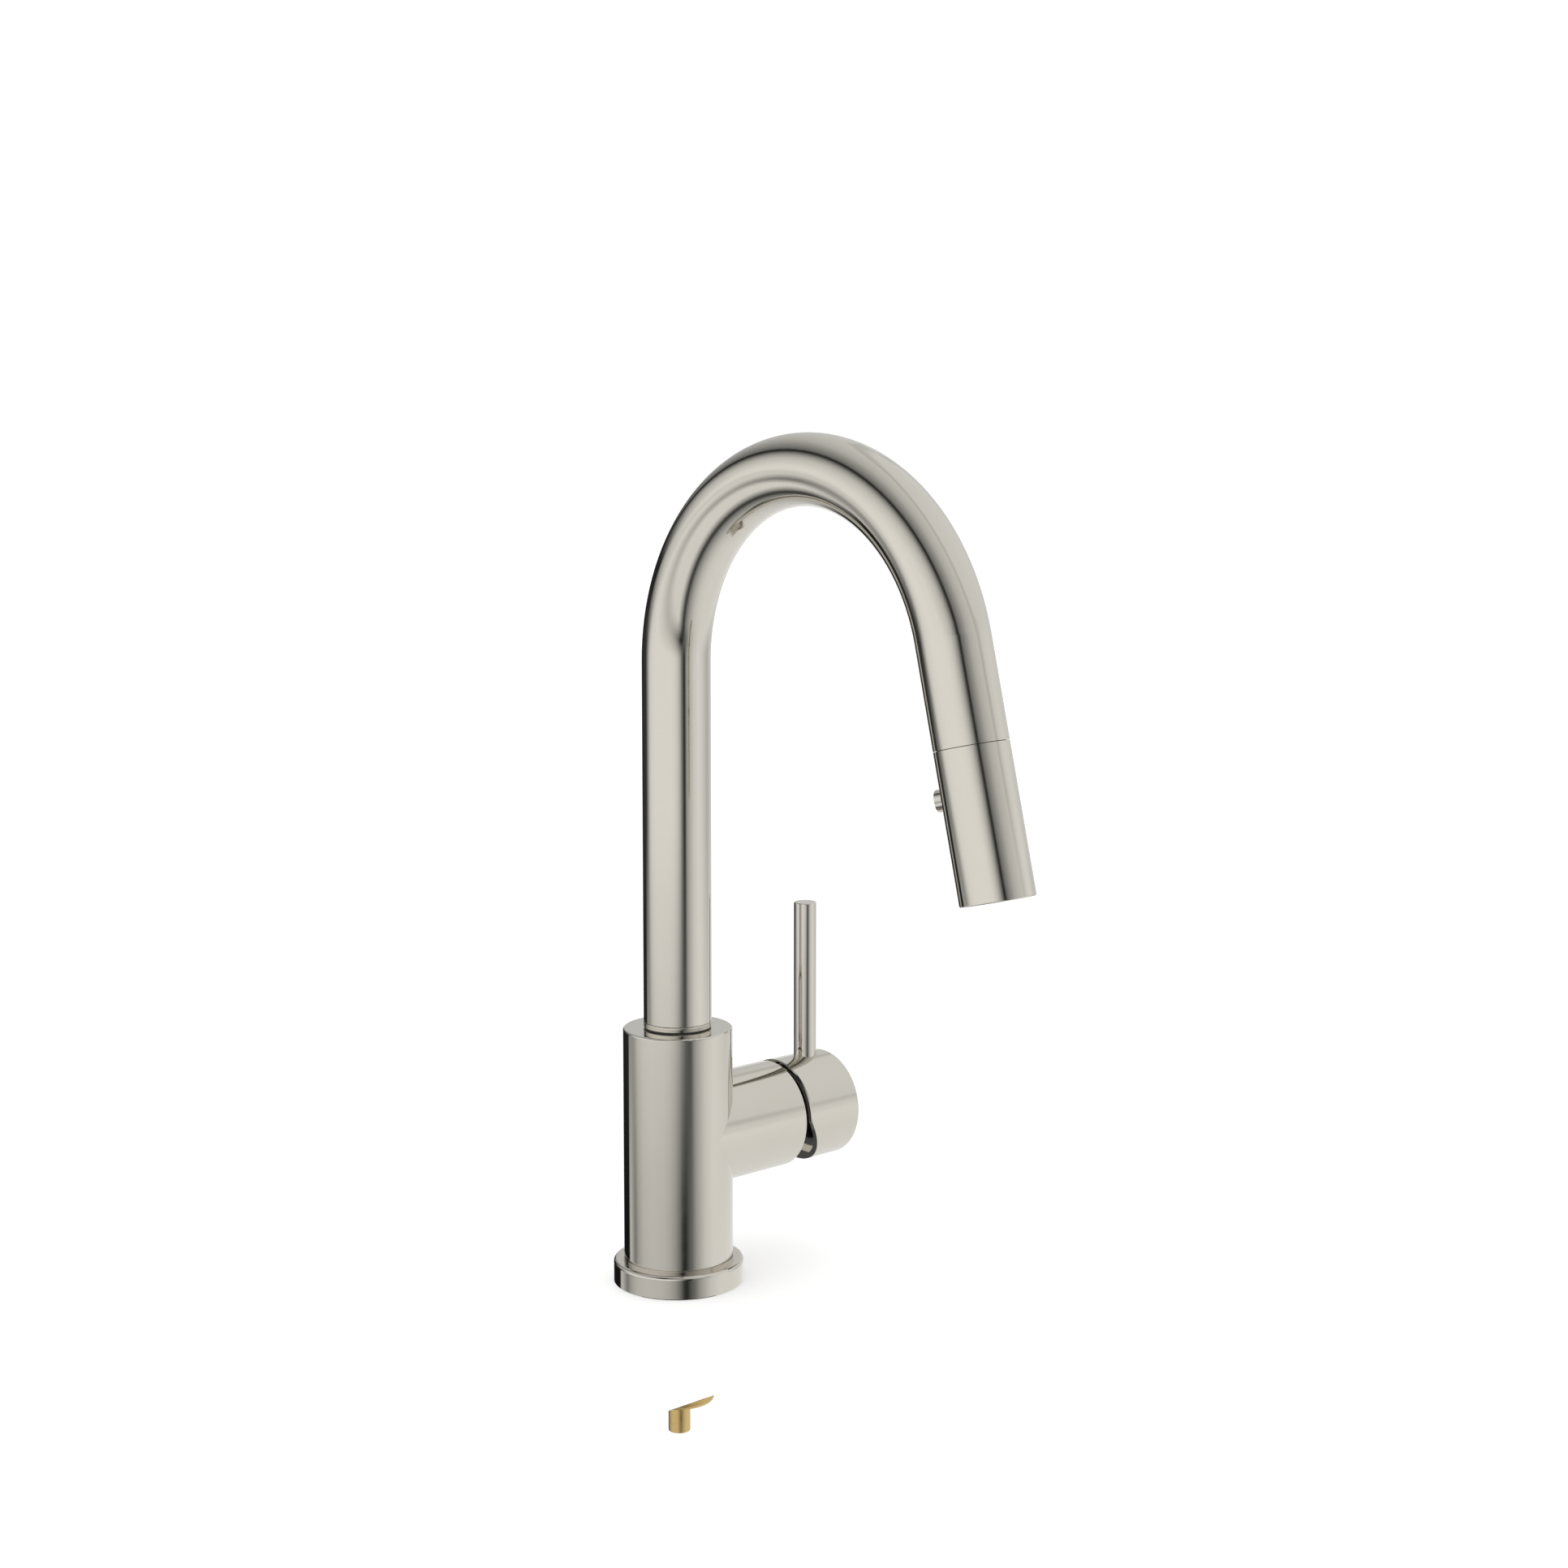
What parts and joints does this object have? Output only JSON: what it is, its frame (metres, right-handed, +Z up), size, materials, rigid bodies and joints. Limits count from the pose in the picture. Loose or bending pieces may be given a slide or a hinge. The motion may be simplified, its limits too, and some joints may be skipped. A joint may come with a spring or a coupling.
{
  "type": "pull down kitchen faucet",
  "caption": "Single-lever kitchen faucet with a round swivelling gooseneck spout and a pull-down spray wand on a hose.",
  "frame": {"origin": "centre of the base flange's underside, on the deck", "axes": "+Z up out of the deck, -Y towards the sink and the spout's outlet, +X towards the side lever"},
  "size_m": [0.1244, 0.2486, 0.4727],
  "materials": {
    "polished_nickel": "polished nickel, warm grey",
    "brass": "machined",
    "stainless_steel": "satin",
    "black_rubber": "matt",
    "grey_plastic": "matt",
    "white_plastic": "matt",
    "ceramic": "lapped",
    "braided_nylon": "braided sleeve"
  },
  "bodies": {
    "base": {"base_flange": "polished_nickel", "deck_gasket": "black_rubber", "body_casting": "polished_nickel", "inlet_block": "brass", "shank": "brass", "rubber_washer": "black_rubber", "clamp_washer": "stainless_steel", "mounting_nut": "brass", "clamp_screws": "stainless_steel", "swivel_bushes": "white_plastic", "slip_washer": "black_rubber", "cartridge_seals": "black_rubber", "cartridge_base": "white_plastic", "fixed_disc": "ceramic", "cartridge_housing": "white_plastic", "cartridge_nut": "brass", "trim_ring": "grey_plastic"},
    "mixer": {"stem_carrier": "grey_plastic", "pivot_pin": "stainless_steel"},
    "lever": {"stem": "brass", "handle_hub": "polished_nickel", "lever_rod": "polished_nickel", "hub_set_screw": "stainless_steel", "screw_plug": "grey_plastic"},
    "disc": {"moving_disc": "ceramic", "disc_driver": "grey_plastic"},
    "spout": {"spout_tube": "polished_nickel", "spout_end": "polished_nickel", "foot_ring": "polished_nickel", "swivel_insert": "brass", "swivel_oring": "black_rubber", "snap_ring": "stainless_steel", "dock_collar": "grey_plastic", "hose": "braided_nylon", "hose_connector": "brass"},
    "wand": {"wand_shell": "polished_nickel", "wand_core": "white_plastic", "neck_oring": "black_rubber", "hose_ferrule": "brass", "hose_gasket": "black_rubber", "check_valve": "grey_plastic", "hose_tail": "braided_nylon", "button_spring": "stainless_steel", "flow_plate": "grey_plastic", "spray_face": "grey_plastic", "rubber_nozzles": "black_rubber", "aerator_housing": "grey_plastic", "aerator_mesh": "stainless_steel"},
    "button": {"spray_button": "polished_nickel", "diverter_spool": "grey_plastic"}
  },
  "joints": [
    {"name": "spout_swivel", "type": "hinge", "parent": "base", "child": "spout", "pos_m": [0, 0, 0.1], "axis": [0, 0, 1], "continuous": true},
    {"name": "wand_pull", "type": "slide", "parent": "spout", "child": "wand", "axis": [0, -0.2419, -0.9703], "range_m": [0, 0.45], "stiffness_N_per_m": 10, "springref_m": -0.55, "deforming": ["hose_tail"]},
    {"name": "button_press", "type": "slide", "parent": "wand", "child": "button", "axis": [0, -0.9703, 0.2419], "range_m": [0, 0.002], "stiffness_N_per_m": 1500, "springref_m": -0.001, "deforming": ["button_spring"]},
    {"name": "mixer_turn", "type": "hinge", "parent": "base", "child": "mixer", "pos_m": [0.042, 0, 0.0689], "axis": [1, 0, 0], "range_deg": [-45, 45]},
    {"name": "lever_lift", "type": "hinge", "parent": "mixer", "child": "lever", "pos_m": [0.042, 0, 0.0689], "axis": [0, 1, 0], "range_deg": [0, 25]},
    {"name": "disc_slide", "type": "slide", "parent": "mixer", "child": "disc", "axis": [0, 0, 1], "range_m": [0, 0.003]}
  ],
  "couplings": [
    {"joint": "disc_slide", "follows": "lever_lift", "m_per_rad": 0.0067}
  ]
}
